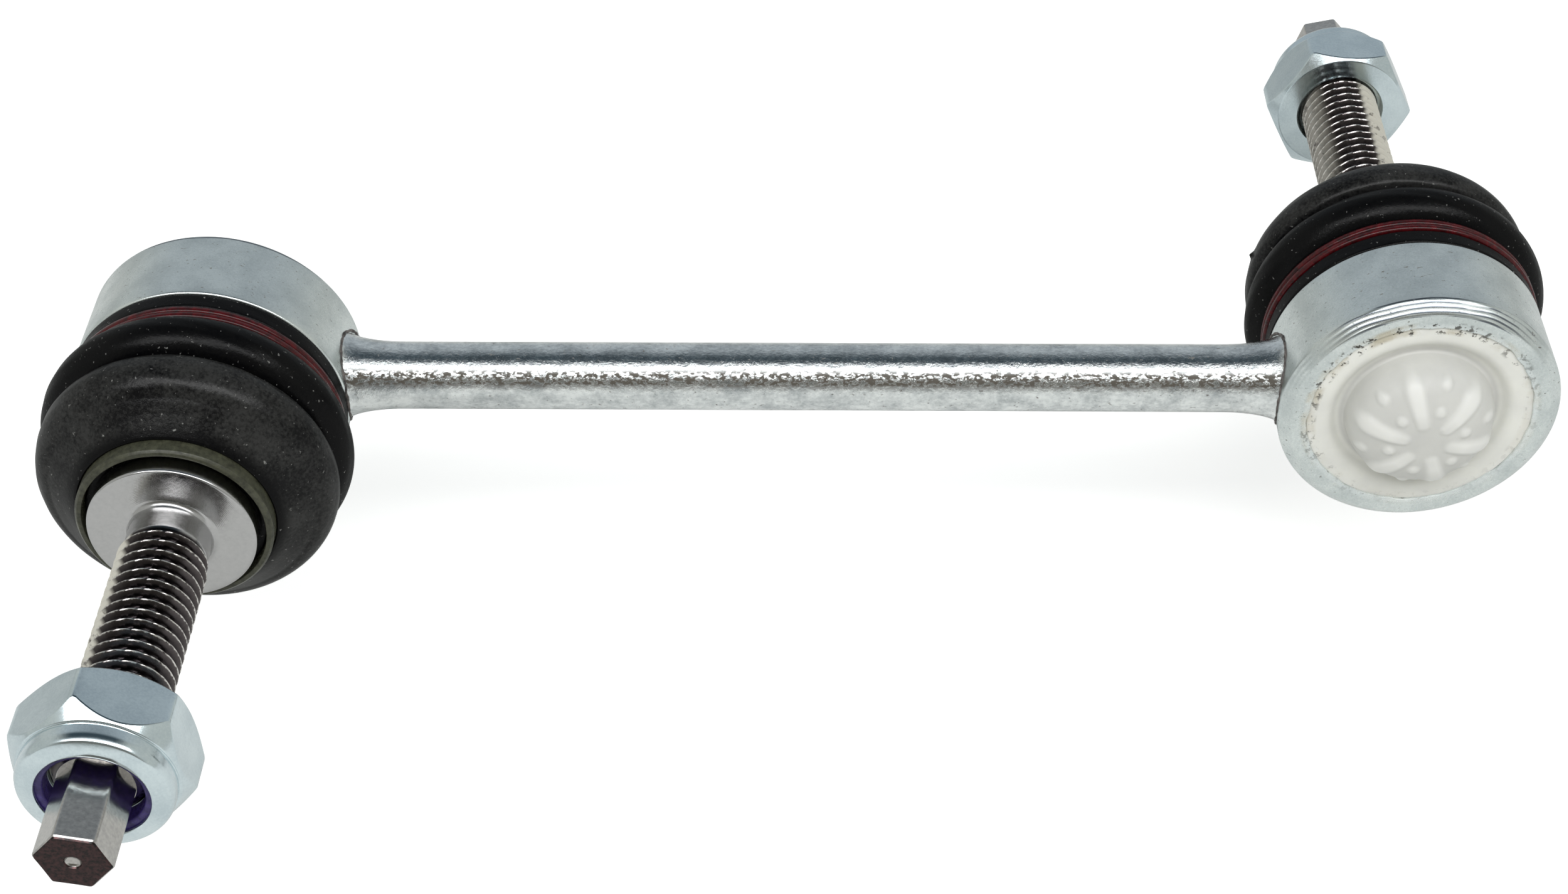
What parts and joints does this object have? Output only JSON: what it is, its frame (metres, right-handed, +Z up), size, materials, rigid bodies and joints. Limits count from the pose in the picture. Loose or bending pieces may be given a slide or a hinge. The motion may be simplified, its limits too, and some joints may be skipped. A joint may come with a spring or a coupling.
{
  "type": "stabilizer link",
  "caption": "Straight round rod with a sealed ball joint at each end. The threaded studs stand square to the rod, point opposite ways, and join a stabilizer bar to the suspension.",
  "frame": {"origin": "on the rod's axis, midway between the two ball joints", "axes": "+X along the rod towards the right-hand housing, +Y the way the right-hand stud points, +Z up, square to the plane of rod and studs"},
  "size_m": [0.177, 0.149, 0.036],
  "materials": {
    "zinc": "clear zinc plate, satin, finely speckled",
    "nut_zinc": "bluish bright zinc plate",
    "stud_steel": "machined bare steel, oiled",
    "ball_steel": "ground and polished",
    "rubber": "matte black with a dusty sheen",
    "red_ring": "dark red, satin",
    "olive_ring": "olive grey, satin",
    "ivory_plastic": "ivory white, moulded",
    "seat_plastic": "natural bearing plastic",
    "nylon": "dark violet nylon"
  },
  "bodies": {
    "link": {"rod": "zinc", "left_housing": "zinc", "left_ball_seat": "seat_plastic", "left_cap": "ivory_plastic", "left_boot": "rubber", "left_clamp_ring": "red_ring", "right_housing": "zinc", "right_ball_seat": "seat_plastic", "right_cap": "ivory_plastic", "right_boot": "rubber", "right_clamp_ring": "red_ring"},
    "left_ball": {"left_ball": "ball_steel"},
    "left_neck_ring": {"left_neck_ring": "olive_ring"},
    "left_stud": {"left_stud": "stud_steel"},
    "left_insert": {"left_nut_insert": "nylon"},
    "left_nut": {"left_nut": "nut_zinc"},
    "right_ball": {"right_ball": "ball_steel"},
    "right_neck_ring": {"right_neck_ring": "olive_ring"},
    "right_stud": {"right_stud": "stud_steel"},
    "right_insert": {"right_nut_insert": "nylon"},
    "right_nut": {"right_nut": "nut_zinc"}
  },
  "joints": [
    {"name": "left_swing", "type": "hinge", "parent": "link", "child": "left_ball", "pos_m": [-0.0705, -0.00395, 0], "axis": [1, 0, 0], "range_deg": [-18, 18], "deforming": ["left_boot"]},
    {"name": "left_tilt", "type": "hinge", "parent": "left_ball", "child": "left_neck_ring", "pos_m": [-0.0705, -0.00395, 0], "axis": [0, 0, 1], "range_deg": [-18, 18], "deforming": ["left_boot"]},
    {"name": "left_spin", "type": "hinge", "parent": "left_neck_ring", "child": "left_stud", "pos_m": [-0.0705, -0.00395, 0], "axis": [0, -1, 0], "continuous": true},
    {"name": "left_nut_travel", "type": "slide", "parent": "left_stud", "child": "left_insert", "axis": [0, -1, 0], "range_m": [-0.0226, 0.0196]},
    {"name": "left_nut_turn", "type": "hinge", "parent": "left_insert", "child": "left_nut", "pos_m": [-0.0705, -0.00395, 0], "axis": [0, -1, 0], "range_deg": [-5400, 4680]},
    {"name": "right_swing", "type": "hinge", "parent": "link", "child": "right_ball", "pos_m": [0.0705, 0.00395, 0], "axis": [1, 0, 0], "range_deg": [-18, 18], "deforming": ["right_boot"]},
    {"name": "right_tilt", "type": "hinge", "parent": "right_ball", "child": "right_neck_ring", "pos_m": [0.0705, 0.00395, 0], "axis": [0, 0, 1], "range_deg": [-18, 18], "deforming": ["right_boot"]},
    {"name": "right_spin", "type": "hinge", "parent": "right_neck_ring", "child": "right_stud", "pos_m": [0.0705, 0.00395, 0], "axis": [0, 1, 0], "continuous": true},
    {"name": "right_nut_travel", "type": "slide", "parent": "right_stud", "child": "right_insert", "axis": [0, 1, 0], "range_m": [-0.0226, 0.0196]},
    {"name": "right_nut_turn", "type": "hinge", "parent": "right_insert", "child": "right_nut", "pos_m": [0.0705, 0.00395, 0], "axis": [0, 1, 0], "range_deg": [-5400, 4680]}
  ],
  "couplings": [
    {"joint": "left_nut_travel", "follows": "left_nut_turn", "m_per_rad": 0.00023873},
    {"joint": "right_nut_travel", "follows": "right_nut_turn", "m_per_rad": 0.00023873}
  ]
}
